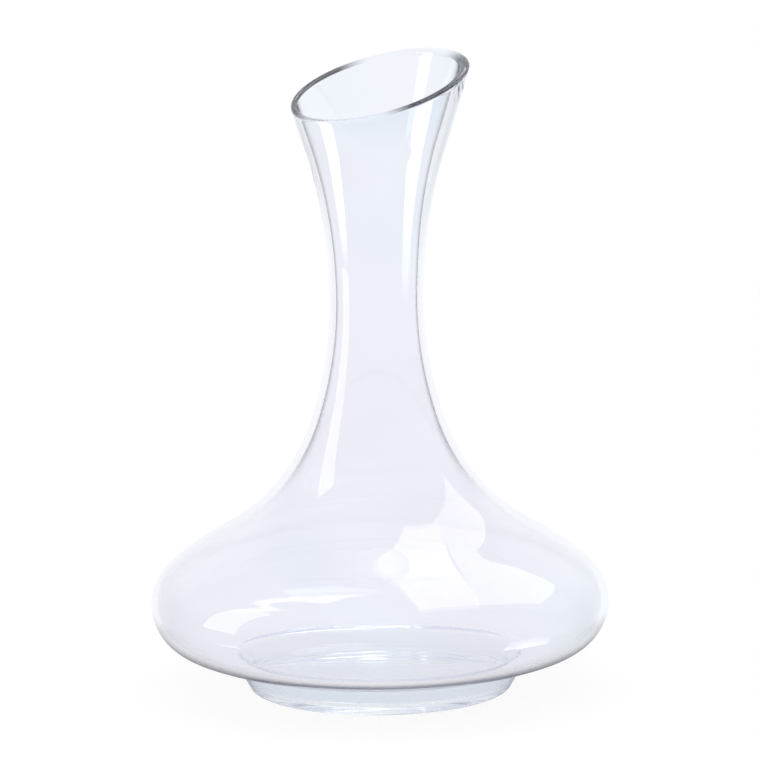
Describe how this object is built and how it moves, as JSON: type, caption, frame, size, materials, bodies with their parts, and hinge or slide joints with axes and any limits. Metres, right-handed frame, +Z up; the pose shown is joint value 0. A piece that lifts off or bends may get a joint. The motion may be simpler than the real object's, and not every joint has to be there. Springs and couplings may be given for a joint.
{
  "type": "wine decanter",
  "caption": "Clear blown-glass wine decanter with a wide flat bowl on a low foot, a slender waisted neck and a flared mouth cut on a slant.",
  "frame": {"origin": "on the table, at the centre of the standing ring under the foot, on the decanter's own axis", "axes": "+Z up along the neck; the high side of the slanted mouth faces +X and its low side faces -X; the XZ plane is the mirror plane"},
  "size_m": [0.21, 0.21, 0.2917],
  "materials": {
    "glass": "clear, smooth, fire-polished"
  },
  "bodies": {
    "root": {"foot": "glass", "bowl": "glass", "shoulder": "glass", "neck": "glass", "lip": "glass"}
  },
  "joints": []
}
